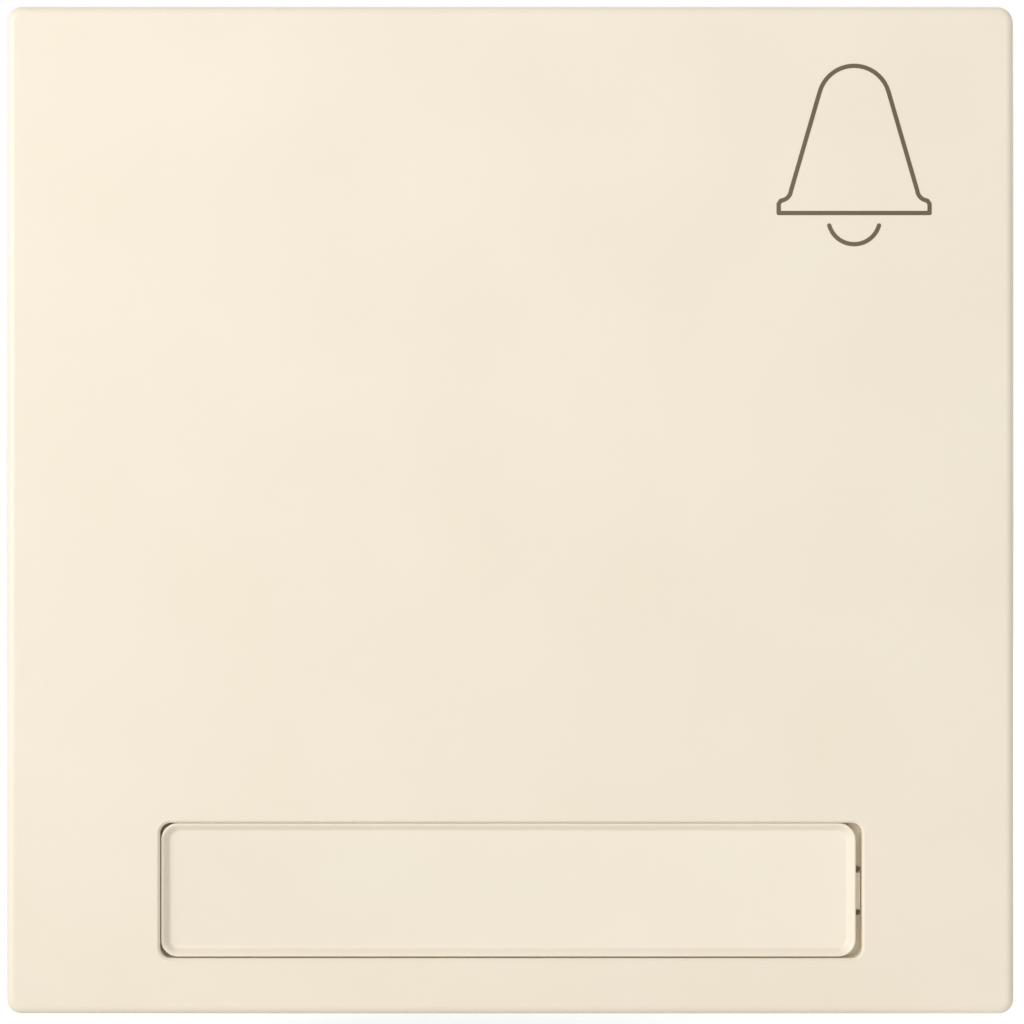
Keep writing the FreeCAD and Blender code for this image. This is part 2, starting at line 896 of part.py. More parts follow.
def feed_busbar():
    """Left hand terminal with an arm behind the lever, and two ears that hold the lever's pin."""
    arm_rear = feed_arm_front + strip_thickness
    low = lever_pin_z - arm_width / 2
    high = lever_pin_z + arm_width / 2
    riser = box(-bar_face, -bar_inner, feed_arm_front, feed_arm_front + riser_depth, terminal_z, high)
    ear_inner = lever_width / 2 + ear_gap
    ear_outer = ear_inner + strip_thickness
    arm = box(-bar_face, ear_outer, feed_arm_front, arm_rear, low, high)
    ear = box(ear_inner, ear_outer, pin_y, arm_rear, lever_pin_z - ear_radius, lever_pin_z + ear_radius)
    ear = ear.fuse(cross_rod(ear_inner, ear_outer, pin_y, lever_pin_z, ear_radius))
    solid = mirrored(terminal_bar()).fuse([riser, arm] + both_sides(ear))
    return one_solid(solid.cut(cross_hole(-ear_outer, ear_outer, pin_y, lever_pin_z, pin_radius)))


def contact_busbar():
    """Right hand terminal with an arm that carries the fixed contact."""
    arm_rear = contact_arm_front + strip_thickness
    riser = box(bar_inner, bar_face, contact_arm_front, contact_arm_front + riser_depth, arm_low, terminal_z)
    arm = box(-contact_radius, bar_face, contact_arm_front, arm_rear, arm_low, arm_low + arm_width)
    solid = terminal_bar().fuse([riser, arm])
    return one_solid(solid.cut(hole(0, lever_contact_z, rivet_radius, contact_arm_front, arm_rear)))


def rivet(face_y, direction, domed):
    """A contact rivet whose face lies at face_y and whose shank points along +Y or -Y."""
    head = rod(0, lever_contact_z, contact_radius, 0, contact_thickness)
    if domed:
        centre = Vector(0, contact_dome, lever_contact_z)
        head = head.common(Part.makeSphere(contact_dome, centre))
    shank = rod(0, lever_contact_z, rivet_radius, contact_thickness, contact_thickness + strip_thickness)
    tail_front = contact_thickness + strip_thickness
    tail = rod(0, lever_contact_z, rivet_tail_radius, tail_front, tail_front + rivet_tail_height)
    solid = head.fuse([shank, tail])
    if direction < 0:
        solid = solid.mirror(Vector(0, 0, 0), Vector(0, 1, 0))
    solid.translate(Vector(0, face_y, 0))
    return one_solid(solid)


def contact_lever():
    """Stamped strip with a rolled hinge loop, narrower towards the contact."""
    half = lever_width / 2
    tip_half = lever_tip_width / 2
    end_z = lever_contact_z - lever_end
    shoulder_z = contact_spring_z - contact_spring_radius
    outline = [
        Vector(-half, lever_front, lever_pin_z),
        Vector(-half, lever_front, shoulder_z),
        Vector(-tip_half, lever_front, shoulder_z - half + tip_half),
        Vector(-tip_half, lever_front, end_z),
        Vector(tip_half, lever_front, end_z),
        Vector(tip_half, lever_front, shoulder_z - half + tip_half),
        Vector(half, lever_front, shoulder_z),
        Vector(half, lever_front, lever_pin_z),
        Vector(-half, lever_front, lever_pin_z),
    ]
    strip = Part.Face(Part.makePolygon(outline)).extrude(Vector(0, lever_thickness, 0))
    loop = cross_rod(-half, half, pin_y, lever_pin_z, loop_outer)
    solid = strip.fuse(loop).cut(cross_hole(-half, half, pin_y, lever_pin_z, loop_inner))
    return one_solid(solid.cut(hole(0, lever_contact_z, rivet_radius, lever_front, lever_rear)))


def lever_pin():
    length = lever_width / 2 + ear_gap + strip_thickness + pin_overhang
    return cross_rod(-length, length, pin_y, lever_pin_z, pin_radius)


def contact_spring():
    return coil_spring(
        0,
        contact_spring_z,
        contact_spring_radius,
        contact_spring_wire,
        contact_spring_turns,
        lever_rear,
        lever_rear + contact_spring_length,
    )


def clamp_spring():
    """Right hand strip spring: a leg along the bar, a bend at the wire entry, and a slanting leg."""
    low = terminal_z - clamp_width / 2
    corner = Vector(clamp_fixed_x, clamp_bend_y, low)
    top = Vector(clamp_fixed_x - clamp_bend_radius, clamp_bend_y + clamp_bend_radius, low)
    turn = Vector(clamp_turn_x, clamp_bend_y, low)
    path = Part.Wire(
        [
            Part.LineSegment(Vector(clamp_fixed_x, clamp_fixed_front, low), corner).toShape(),
            Part.Arc(corner, top, turn).toShape(),
            Part.LineSegment(turn, Vector(clamp_tip_x, clamp_tip_front, low)).toShape(),
        ]
    )
    outline = path.makeOffset2D(clamp_thickness / 2, 0, False, False, False)
    return Part.Face(outline).extrude(Vector(0, 0, clamp_width))


def release_lever():
    """Right hand release lever: head outside, collar inside, tip above the clamp spring."""
    low = terminal_z - release_width / 2
    high = terminal_z + release_width / 2
    collar_rear = floor_front - snug_gap
    collar_front = collar_rear - release_collar_height
    tip_rear = bar_rear - part_gap
    waist_front = tip_rear - release_waist_height
    head_end = tub_depth + release_travel + release_proud
    head = box(release_inner, release_outer, collar_front, head_end, low, high)
    head = head.makeFillet(release_edge_radius, edges_at(head, head_end))
    collar = box(
        release_inner,
        release_outer,
        collar_front,
        collar_rear,
        low - release_collar_side,
        high + release_collar_side,
    )
    shank = box(release_inner, release_waist_outer, waist_front, collar_front, low, high)
    waist = box(release_tip_inner, release_waist_outer, waist_front, tip_rear, low, high)
    tip = box(release_tip_inner, release_tip_outer, release_tip_front, waist_front, low, high)
    return one_solid(head.fuse([collar, shank, waist, tip]))


def build():
    """Every sub-part by name."""
    parts = {
        "rocker_plate": rocker_plate(),
        "bell_symbol": bell_symbol(),
        "name_card": name_card(),
        "label_window": label_window(),
        "rocker_yoke": rocker_yoke(),
        "return_spring_right": return_spring(1),
        "return_spring_left": return_spring(-1),
        "bearing_frame": bearing_frame(),
        "support_plate": support_plate(),
        "frame_screws": frame_screws(),
        "base_housing": base_housing(),
        "feed_busbar": feed_busbar(),
        "contact_busbar": contact_busbar(),
        "fixed_contact": rivet(fixed_face, 1, False),
        "moving_contact": rivet(moving_face, -1, True),
        "contact_lever": contact_lever(),
        "lever_pin": lever_pin(),
        "contact_spring": contact_spring(),
    }
    for name, shape in (("clamp_spring", clamp_spring()), ("release_lever", release_lever())):
        parts[name + "_right"] = shape
        parts[name + "_left"] = mirrored(shape)
    return parts


os.makedirs("parts", exist_ok=True)
for node, shape in build().items():
    shape.exportStep("parts/" + node + ".step")
    print(node, len(shape.Solids), shape.isValid(), round(shape.Volume, 2))
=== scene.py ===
import json
import math

import bpy
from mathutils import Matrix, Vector


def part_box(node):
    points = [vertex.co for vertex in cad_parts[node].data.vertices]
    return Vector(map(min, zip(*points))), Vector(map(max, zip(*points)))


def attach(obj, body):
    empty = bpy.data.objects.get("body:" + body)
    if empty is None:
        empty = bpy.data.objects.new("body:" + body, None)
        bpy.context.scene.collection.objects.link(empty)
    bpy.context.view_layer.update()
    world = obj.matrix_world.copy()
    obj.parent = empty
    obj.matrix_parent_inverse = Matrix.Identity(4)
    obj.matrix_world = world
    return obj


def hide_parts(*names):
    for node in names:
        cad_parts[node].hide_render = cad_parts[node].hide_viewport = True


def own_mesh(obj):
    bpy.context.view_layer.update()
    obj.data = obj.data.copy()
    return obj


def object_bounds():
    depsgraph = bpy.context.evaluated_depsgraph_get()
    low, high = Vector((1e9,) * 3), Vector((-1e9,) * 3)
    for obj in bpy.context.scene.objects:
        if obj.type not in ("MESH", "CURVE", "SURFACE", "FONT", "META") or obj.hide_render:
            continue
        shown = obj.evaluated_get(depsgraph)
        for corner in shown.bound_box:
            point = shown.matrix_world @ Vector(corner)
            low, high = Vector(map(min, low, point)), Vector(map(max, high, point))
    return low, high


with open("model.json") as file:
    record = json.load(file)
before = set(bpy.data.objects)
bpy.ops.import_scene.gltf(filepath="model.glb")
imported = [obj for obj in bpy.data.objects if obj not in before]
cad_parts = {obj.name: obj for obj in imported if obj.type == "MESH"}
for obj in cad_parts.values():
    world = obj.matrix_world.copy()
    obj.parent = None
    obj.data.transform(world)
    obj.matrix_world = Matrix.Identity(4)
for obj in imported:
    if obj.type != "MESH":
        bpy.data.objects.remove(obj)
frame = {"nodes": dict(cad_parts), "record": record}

# Looks of a flush doorbell push button: a cream button plate with a bell sign and a name field,
# over a sprung contact unit on a zinc-plated steel plate.
# Blender units are metres. X to the right, Z up, +Y into the wall, and the button plate faces -Y.

MM = 0.001
TOUCH = 0.01 * MM  # a gap or a tolerance too small to see
MERGE = 0.001 * MM  # points this near to each other become one
SQUARE_ON = 0.99  # a face whose normal lies this far along an axis looks straight that way
cad_low, cad_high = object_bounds()
nodes = frame["nodes"]

# Springs: wire and strip sizes, and how their ends are closed
COIL_WIRE = 0.4 * MM
COIL_STEPS = 48
COIL_RING = 16
RETURN_TURNS = 3
CONTACT_TURNS = 4
DEAD_TURN_PITCH = 1.04
STRIP = 0.35 * MM
STRIP_BEND = 0.55 * MM
STRIP_EDGE = 0.05 * MM
STRIP_STEPS = 14
STRIP_TIP_Y = 8.4 * MM

# Frame screws: pan head with a cross recess, cut thread, each turned in by another amount
SCREW_PLACES = ((-21.6 * MM, -8 * MM), (-21.6 * MM, 8 * MM), (21.6 * MM, -8 * MM), (21.6 * MM, 8 * MM))
SCREW_TURNS = (0.4, 1.5, 2.6, 3.7)  # radians
SCREW_SHANK = 0.95 * MM
SCREW_CORE = 0.76 * MM
SCREW_PITCH = 0.4 * MM
SCREW_RIDGE_HALF_WIDTH = 0.45 * SCREW_PITCH
SCREW_STEPS = 36
SCREW_OVERLAP = 0.1 * MM
SCREW_HEAD = 1.2 * MM
SCREW_HEAD_RADIUS = 1.9 * MM
SCREW_HEAD_EDGE = 0.6 * MM
SCREW_RECESS_LENGTH = 2.3 * MM
SCREW_RECESS_WIDTH = 0.5 * MM
SCREW_RECESS_DEPTH = 0.65 * MM
SCREW_RECESS_TAPER = 0.6
SCREW_THREAD_RUNOUT = 0.35 * MM
SCREW_POINT = 0.25 * MM

# Marks moulded on the back of the housing: a stripped wire, a push contact and ejector pins.
# Places and lines are given across and up, in millimetres.
HOUSING_BACK = 20.0 * MM
MARK_WIDTH = 0.36 * MM
MARK_END = 0.16 * MM
EJECTOR_RADIUS = 1.6 * MM
EJECTOR_HEIGHT = 0.03 * MM
EJECTOR_EDGE = 0.012 * MM
EJECTOR_PLACES = ((-13.2, 13.2), (13.2, 13.2), (-13.2, -13.8), (13.2, -13.8), (0, -1))
WIRE_MARK = (
    ((-9.0, -10.0), (-1.5, -10.0)),
    ((-9.0, -12.4), (-1.5, -12.4)),
    ((-9.0, -12.4), (-9.0, -10.0)),
    ((-1.5, -12.4), (-1.5, -10.0)),
    ((-1.5, -10.75), (8.0, -10.75)),
    ((-1.5, -11.65), (8.0, -11.65)),
    ((8.0, -11.65), (8.0, -10.75)),
)
CONTACT_MARK = (
    ((-6.0, 7.0), (-3.0, 7.0)),
    ((3.0, 7.0), (6.0, 7.0)),
    ((-3.4, 8.3), (3.4, 8.3)),
    ((0.0, 8.3), (0.0, 11.2)),
    ((-1.3, 11.2), (1.3, 11.2)),
)
CONTACT_ENDS = ((-6.6, 7.0), (6.6, 7.0))
CONTACT_END_RADIUS = 0.6 * MM

# Cover of the name field: a soft dish in front, a room for the card behind, and a tab at its right end
COVER_CORNER = 0.95 * MM
COVER_EDGE = 0.06 * MM
DISH_LAND = 0.02 * MM
DISH_WIDTH = 0.42 * MM
DISH_DEPTH = 0.38 * MM
DISH_STEPS = 10
COVER_RIM = 0.45 * MM
CARD_ROOM = 0.28 * MM
TAB_REACH = 0.3 * MM
TAB_ROOT = 0.3 * MM
TAB_SINK = 0.45 * MM
TAB_THICKNESS = 0.26 * MM
TAB_WIDTH = 2.0 * MM
TAB_DROP = 0.12 * MM
TAB_EDGE = 0.04 * MM

# Camera. The photograph shows the plate straight on, and its 55 mm match best at 1009.5 of the 1024 pixels.
PLATE_WIDTH = 55.0 * MM
PLATE_PIXELS = 1009.5
IMAGE_PIXELS = 1024.0
CAMERA_LENS = 100.0
CAMERA_SENSOR = 36.0
CAMERA_X = 0.10 * MM
CAMERA_Z = -0.10 * MM
CAMERA_CLIP = 0.01

# Floor and lamps. The floor's glow is added for the camera alone.
FLOOR_GAP = 4.0 * MM
FLOOR_SIZE = 4.0
FLOOR_GLOW_NEAR = 0.46
FLOOR_GLOW_FAR = 0.58
FLOOR_FADE_START = 0.12
FLOOR_FADE_END = 0.5
WORLD_LEVEL = 0.47
KEY_PLACE = (-0.28, -0.34, 0.11)
KEY_SIZE = 0.26
KEY_POWER = 1.15
REAR_PLACE = (0.26, 0.34, 0.22)
REAR_SIZE = 0.25
REAR_POWER = 0.8

# Materials. Nearly all of a noise texture lies between these two values.
NOISE_LOW = 0.3
NOISE_HIGH = 0.7


# Colours and nodes

def linear(code):
    """An sRGB hex colour as the linear colour that a shader takes."""
    channels = []
    for start in (1, 3, 5):
        value = int(code[start:start + 2], 16) / 255
        channels.append(value / 12.92 if value <= 0.04045 else ((value + 0.055) / 1.055) ** 2.4)
    return (*channels, 1.0)


def per(size_mm):
    """The pattern scale at which one cell of a texture measures so many millimetres."""
    return 1000.0 / size_mm


def add(tree, kind, inputs, **settings):
    """Adds a node with its settings; an input is a value, or the output that it is linked from."""
    made = tree.nodes.new(kind)
    for name, value in settings.items():
        setattr(made, name, value)
    for name, value in inputs.items():
        if isinstance(value, bpy.types.NodeSocket):
            tree.links.new(value, made.inputs[name])
        else:
            made.inputs[name].default_value = value
    return made


def new_material(name, roughness, metallic=0.0, ior=1.5):
    """A material with its shader and constants. A metal keeps the default IOR."""
    material = bpy.data.materials.new(name)
    material.use_nodes = True
    shader = material.node_tree.nodes["Principled BSDF"]
    shader.inputs["Roughness"].default_value = roughness
    shader.inputs["Metallic"].default_value = metallic
    if not metallic:
        shader.inputs["IOR"].default_value = ior
    return material, material.node_tree, shader


def pattern_space(tree, stretch=(1.0, 1.0, 1.0)):
    """Object coordinates, stretched along the axes that a grain runs along."""
    place = add(tree, "ShaderNodeTexCoord", {})
    return add(
        tree, "ShaderNodeMapping", {"Vector": place.outputs["Object"], "Scale": stretch}
    ).outputs["Vector"]


def cloud(tree, space, size_mm, detail=2.0, rough=0.5):
    """Soft noise with cells of a given size."""
    return add(
        tree,
        "ShaderNodeTexNoise",
        {"Vector": space, "Scale": per(size_mm), "Detail": detail, "Roughness": rough},
    ).outputs["Fac"]


def spread(tree, factor, low, high):
    """A noise value spread between two numbers."""
    return add(
        tree,
        "ShaderNodeMapRange",
        {"Value": factor, "From Min": NOISE_LOW, "From Max": NOISE_HIGH, "To Min": low, "To Max": high},
    ).outputs["Result"]


def tinted(tree, factor, first, second):
    """Two shades of a colour, mixed by a noise value."""
    ramp = add(tree, "ShaderNodeValToRGB", {"Fac": factor})
    ramp.color_ramp.elements[0].position = NOISE_LOW
    ramp.color_ramp.elements[1].position = NOISE_HIGH
    ramp.color_ramp.elements[0].color = linear(first)
    ramp.color_ramp.elements[1].color = linear(second)
    return ramp.outputs["Color"]


def relief(tree, shader, height, depth_mm):
    """Surface relief of a given depth in millimetres."""
    bump = add(tree, "ShaderNodeBump", {"Height": height, "Distance": depth_mm * MM, "Strength": 1.0})
    tree.links.new(bump.outputs["Normal"], shader.inputs["Normal"])


def moulded(name, first, second, roughness, spark_mm, spark_depth, ior=1.5):
    """Moulded plastic: nearly even colour, and the fine eroded surface of its mould."""
    material, tree, shader = new_material(name, roughness, ior=ior)
    space = pattern_space(tree)
    drift = cloud(tree, space, 9.0, 1.0)
    spark = cloud(tree, space, spark_mm, 3.0, 0.6)
    tree.links.new(tinted(tree, drift, first, second), shader.inputs["Base Color"])
    tree.links.new(
        spread(tree, spark, roughness - 0.04, roughness + 0.04), shader.inputs["Roughness"]
    )
    relief(tree, shader, spark, spark_depth)
    return material


def metal(name, first, second, roughness, grain_mm, stretch, depth):
    """Drawn, rolled or stamped metal: a fine grain along one direction, and cloudy sheen."""
    material, tree, shader = new_material(name, roughness, metallic=1.0)
    grain = cloud(tree, pattern_space(tree, stretch), grain_mm, 2.0)
    patch = cloud(tree, pattern_space(tree), 2.5, 3.0, 0.6)
    tree.links.new(tinted(tree, patch, first, second), shader.inputs["Base Color"])
    tree.links.new(
        spread(tree, patch, roughness - 0.07, roughness + 0.07), shader.inputs["Roughness"]
    )
    relief(tree, shader, grain, depth)
    return material


# Materials

def cream_asa():
    """ASA from a polished mould: even cream white with a satin shine."""
    return moulded("moulded_cream_asa", "#F1E7D3", "#F3E9D6", 0.34, 0.09, 0.0012)


def sign_ink():
    """Pad-printed ink in the engraved line: flat and dark taupe, with a dry surface."""
    return moulded("pad_printed_taupe_ink", "#65573F", "#6E604B", 0.6, 0.05, 0.003)


def ivory_card():
    """Uncoated ivory card: matt, with short fibres."""
    material, tree, shader = new_material("uncoated_ivory_card", 0.85)
    fibre = cloud(tree, pattern_space(tree, (0.35, 1.0, 1.0)), 0.12, 4.0, 0.7)
    tree.links.new(tinted(tree, fibre, "#F0E5CF", "#F4EAD8"), shader.inputs["Base Color"])
    relief(tree, shader, fibre, 0.004)
    return material


def milky_polycarbonate():
    """Polycarbonate, milky through and through: the plate's cream, a little glossier and finer."""
    return moulded("milky_polycarbonate", "#F3E9D6", "#F4EBD9", 0.32, 0.07, 0.0006, ior=1.585)


def carrier_acetal():
    """Acetal, a slippery bearing plastic: waxy off-white."""
    return moulded("moulded_white_acetal", "#E3E2DC", "#E9E8E3", 0.42, 0.12, 0.002)


def frame_pbt():
    """PBT for electrical parts: dull grey-white."""
    return moulded("moulded_grey_white_pbt", "#D9D9D5", "#DFDFDC", 0.5, 0.15, 0.004)


def housing_polyamide():
    """Glass-filled polyamide: matt grey with a coarse eroded skin and a little glass at the surface."""
    return moulded("glass_filled_grey_polyamide", "#C8CACA", "#CECFCF", 0.55, 0.16, 0.008)


def lever_polyamide():
    """Dyed polyamide, the colour that marks what is pressed."""
    return moulded("moulded_orange_polyamide", "#D9742B", "#E0823A", 0.45, 0.12, 0.003)


def zinc_plated_steel():
    """Cold-rolled sheet with bright zinc: bluish, satin, with rolling lines along its width."""
    return metal("zinc_plated_rolled_steel", "#BFC4C8", "#D2D6D8", 0.34, 0.1, (0.05, 1, 1), 0.002)


def screw_steel():
    """Headed and rolled steel with bright zinc."""
    return metal("zinc_plated_screw_steel", "#BDC0C2", "#CDD0D1", 0.3, 0.08, (1, 1, 1), 0.0015)


def drawn_steel():
    """Drawn and ground pin stock: fine lines along its length."""
    return metal("drawn_pin_steel", "#B9BABA", "#C8C9C8", 0.24, 0.05, (0.04, 1, 1), 0.001)


def spring_steel():
    """Stainless spring wire and strip: dull bright, slightly darkened by the tempering."""
    return metal("tempered_stainless_spring_steel", "#A9A9A8", "#BEBEBC", 0.28, 0.05, (1, 1, 1), 0.001)


def rolled_brass():
    """Half-hard brass strip, stamped and bent: warm yellow with rolling lines."""
    return metal("rolled_brass_strip", "#CFAA58", "#DDBB6C", 0.3, 0.07, (0.06, 1, 1), 0.0015)


def contact_silver():
    """Silver contact rivet: soft white metal, burnished by its mate."""
    return metal("burnished_contact_silver", "#DAD9D4", "#E8E7E3", 0.22, 0.06, (1, 1, 1), 0.001)


# Modelling steps

def fresh():
    """Nothing is selected, so that the next step acts on what it adds alone."""
    bpy.ops.object.select_all(action="DESELECT")


def only(*objects):
    """These objects are selected, and the first one is the active one."""
    fresh()
    for item in objects:
        item.select_set(True)
    bpy.context.view_layer.objects.active = objects[0]


def apply_place():
    """The selected object's place, turn and scale go into its mesh."""
    bpy.ops.object.transform_apply(location=True, rotation=True, scale=True)


def block(size, centre):
    """A box of a size along X, Y and Z, about its centre."""
    fresh()
    bpy.ops.mesh.primitive_cube_add(size=1, location=centre)
    made = bpy.context.object
    made.scale = size
    apply_place()
    return made


def rod(radius, start, end, sides, x=0, z=0):
    """A cylinder along Y, from a start to an end."""
    fresh()
    bpy.ops.mesh.primitive_cylinder_add(
        vertices=sides,
        radius=radius,
        depth=end - start,
        location=(x, (start + end) / 2, z),
        rotation=(math.pi / 2, 0, 0),
    )
    apply_place()
    return bpy.context.object


def use_modifier(piece, kind, **settings):
    """Adds a modifier to a piece and applies it."""
    only(piece)
    modifier = piece.modifiers.new(kind.lower(), kind)
    for name, value in settings.items():
        setattr(modifier, name, value)
    bpy.ops.object.modifier_apply(modifier=modifier.name)


def leave_edit():
    """Back to object mode."""
    bpy.ops.object.mode_set(mode="OBJECT")


def pick(piece, kind, test):
    """In edit mode, only the faces or edges that pass a test are selected."""
    bpy.ops.object.mode_set(mode="EDIT")
    bpy.ops.mesh.select_mode(type={"polygons": "FACE", "edges": "EDGE"}[kind])
    bpy.ops.mesh.select_all(action="DESELECT")
    leave_edit()
    for item in getattr(piece.data, kind):
        item.select = test(item)
    bpy.ops.object.mode_set(mode="EDIT")


def pick_rim(piece, test):
    """In edit mode, only the edges whose ends both pass a test of their place along Y are selected."""
    pick(piece, "edges", lambda edge: all(test(piece.data.vertices[i].co.y) for i in edge.vertices))


def join(pieces):
    """Several objects made one."""
    only(*pieces)
    bpy.ops.object.join()
    return bpy.context.object


def cap_ends(piece, sides):
    """The open ends of a wound wire are closed, and the faces point outwards."""
    only(piece)
    bpy.ops.object.mode_set(mode="EDIT")
    bpy.ops.mesh.select_all(action="SELECT")
    bpy.ops.mesh.fill_holes(sides=sides)
    bpy.ops.mesh.normals_make_consistent(inside=False)
    leave_edit()


def wind(ring, pitch, turns, steps, start):
    """Screws a small ring, which stands off the Z axis on X, into turns of wire along +Y from a start."""
    use_modifier(
        ring,
        "SCREW",
        axis="Z",
        angle=2 * math.pi * turns,
        screw_offset=pitch * turns,
        steps=steps * turns,
        render_steps=steps * turns,
        use_merge_vertices=False,
    )
    ring.rotation_euler = (-math.pi / 2, 0, 0)
    ring.location = (0, start, 0)
    apply_place()
    return ring


def clean(piece):
    """Doubles are merged and the faces point outwards."""
    only(piece)
    bpy.ops.object.mode_set(mode="EDIT")
    bpy.ops.mesh.select_all(action="SELECT")
    bpy.ops.mesh.remove_doubles(threshold=MERGE)
    bpy.ops.mesh.normals_make_consistent(inside=False)
    leave_edit()


def settle(piece, name, material, body, nodes_replaced, smooth=35.0):
    """A finished piece: its place in its mesh, smooth where it is round, on its body."""
    only(piece)
    apply_place()
    bpy.ops.object.shade_smooth_by_angle(angle=math.radians(smooth))
    piece.name = name
    piece.data.name = name
    piece.data.materials.clear()
    piece.data.materials.append(material)
    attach(piece, body)
    if nodes_replaced:
        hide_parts(*nodes_replaced)
    return piece


# Springs

def coil_length(radius, start, turns, pitch):
    """Some turns of wire along +Y from a start."""
    fresh()
    bpy.ops.mesh.primitive_circle_add(
        vertices=COIL_RING, radius=COIL_WIRE / 2, location=(radius, 0, 0), rotation=(math.pi / 2, 0, 0)
    )
    apply_place()
    return wind(bpy.context.object, pitch, turns, COIL_STEPS, start)


def coil_spring(name, node, turns):
    """A compression spring in the room of its CAD node, with a closed turn at each end."""
    low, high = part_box(node)
    radius = (high.x - low.x - COIL_WIRE) / 2
    start = low.y + COIL_WIRE / 2
    end = high.y - COIL_WIRE / 2
    dead = COIL_WIRE * DEAD_TURN_PITCH
    pitch = (end - start - 2 * dead) / turns
    lengths = [
        coil_length(radius, start, 1, dead),
        coil_length(radius, start + dead, turns, pitch),
        coil_length(radius, end - dead, 1, dead),
    ]
    spring = join(lengths)
    clean(spring)
    cap_ends(spring, COIL_RING)
    spring.location = ((low.x + high.x) / 2, 0, (low.z + high.z) / 2)
    return settle(spring, name, materials["spring_steel"], "base", [node], 60.0)


def clamp_strip(name, node, side):
    """A strip spring: a leg along the bar, a bend at the wire's entry, and a slanting leg."""
    low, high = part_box(node)
    fixed_x = (high.x if side > 0 else -low.x) - STRIP / 2
    tip_x = (low.x if side > 0 else -high.x) + STRIP / 2
    width = high.z - low.z
    bend_y = high.y - STRIP_BEND - STRIP / 2
    turn_x = fixed_x - 2 * STRIP_BEND
    slant = Vector((tip_x - turn_x, STRIP_TIP_Y - bend_y, 0))
    turn = math.pi - math.atan2(turn_x - tip_x, bend_y - STRIP_TIP_Y)
    fresh()
    bpy.ops.mesh.primitive_plane_add(
        size=1,
        location=(fixed_x, low.y, (low.z + high.z) / 2),
        rotation=(math.pi / 2, 0, 0),
    )
    strip = bpy.context.object
    strip.scale = (STRIP, width, 1)
    apply_place()
    bpy.ops.object.mode_set(mode="EDIT")
    bpy.ops.mesh.select_all(action="SELECT")
    bpy.ops.mesh.extrude_region_move(TRANSFORM_OT_translate={"value": (0, bend_y - low.y, 0)})
    bpy.ops.mesh.spin(
        steps=STRIP_STEPS, angle=turn, center=(fixed_x - STRIP_BEND, bend_y, 0), axis=(0, 0, 1)
    )
    bpy.ops.mesh.extrude_region_move(TRANSFORM_OT_translate={"value": slant})
    leave_edit()
    clean(strip)
    use_modifier(strip, "BEVEL", width=STRIP_EDGE, segments=2, limit_method="ANGLE")
    if side < 0:
        strip.scale = (-1, 1, 1)
        apply_place()
    clean(strip)
    return settle(strip, name, materials["spring_steel"], "base", [node])


# Frame screws

def screw_head(front):
    """A pan head along +Y: rounded at its front edge, with a tapered cross recess."""
    head = rod(SCREW_HEAD_RADIUS, front, front + SCREW_HEAD, 64)
    pick_rim(head, lambda y: y < front + TOUCH)
    bpy.ops.mesh.bevel(offset=SCREW_HEAD_EDGE, segments=8, profile=0.5, affect="EDGES")
    leave_edit()
    cross = ((SCREW_RECESS_LENGTH, SCREW_RECESS_WIDTH), (SCREW_RECESS_WIDTH, SCREW_RECESS_LENGTH))
    for across, up in cross:
        blade = block((across, 2 * SCREW_RECESS_DEPTH, up), (0, front, 0))
        pick(blade, "polygons", lambda face: face.normal.y > SQUARE_ON)
        bpy.ops.transform.resize(value=(SCREW_RECESS_TAPER, 1, SCREW_RECESS_TAPER))
        leave_edit()
        use_modifier(head, "BOOLEAN", operation="DIFFERENCE", object=blade)
        bpy.data.objects.remove(blade)
    return head


def screw_shank(start, end):
    """The core of the screw, with a chamfered point."""
    shank = rod(SCREW_CORE, start, end, 48)
    pick_rim(shank, lambda y: y > end - TOUCH)
    bpy.ops.mesh.bevel(offset=SCREW_POINT, segments=1, affect="EDGES")
    leave_edit()
    return shank


def screw_thread(start, end):
    """A ridge wound round the core, from a small four-sided ring."""
    turns = int((end - start) / SCREW_PITCH)
    fresh()
    bpy.ops.mesh.primitive_circle_add(vertices=4, radius=1, rotation=(math.pi / 2, 0, 0))
    ridge = bpy.context.object
    apply_place()
    ridge.scale = (SCREW_SHANK - SCREW_CORE, 1, SCREW_RIDGE_HALF_WIDTH)
    ridge.location = (SCREW_CORE, 0, 0)
    apply_place()
    wind(ridge, SCREW_PITCH, turns, SCREW_STEPS, start)
    clean(ridge)
    cap_ends(ridge, 4)
    return ridge


def frame_screw_set():
    """Four pan head screws that hold the bearing frame and the housing to the steel plate."""
    low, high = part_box("frame_screws")
    seat = low.y + SCREW_HEAD
    first = join(
        [
            screw_head(low.y),
            screw_shank(seat - SCREW_OVERLAP, high.y),
            screw_thread(seat + SCREW_THREAD_RUNOUT, high.y - SCREW_POINT),
        ]
    )
    screws = []
    for (x, z), turn in zip(SCREW_PLACES, SCREW_TURNS):
        only(first)
        bpy.ops.object.duplicate()
        screw = bpy.context.object
        screw.rotation_euler = (0, turn, 0)
        screw.location = (x, 0, z)
        screws.append(screw)
    bpy.data.objects.remove(first)
    return settle(
        join(screws), "frame_screw_set", materials["screw_steel"], "base", ["frame_screws"]
    )


# Cover of the name field

def cover_tab(right, front, middle):
    """A small block at the cover's right end, with broken edges, to pry it out."""
    tab = block(
        (TAB_REACH + TAB_ROOT, TAB_THICKNESS, TAB_WIDTH),
        (right + (TAB_REACH - TAB_ROOT) / 2, front + TAB_SINK + TAB_THICKNESS / 2, middle - TAB_DROP),
    )
    use_modifier(tab, "BEVEL", width=TAB_EDGE, segments=2)
    return tab


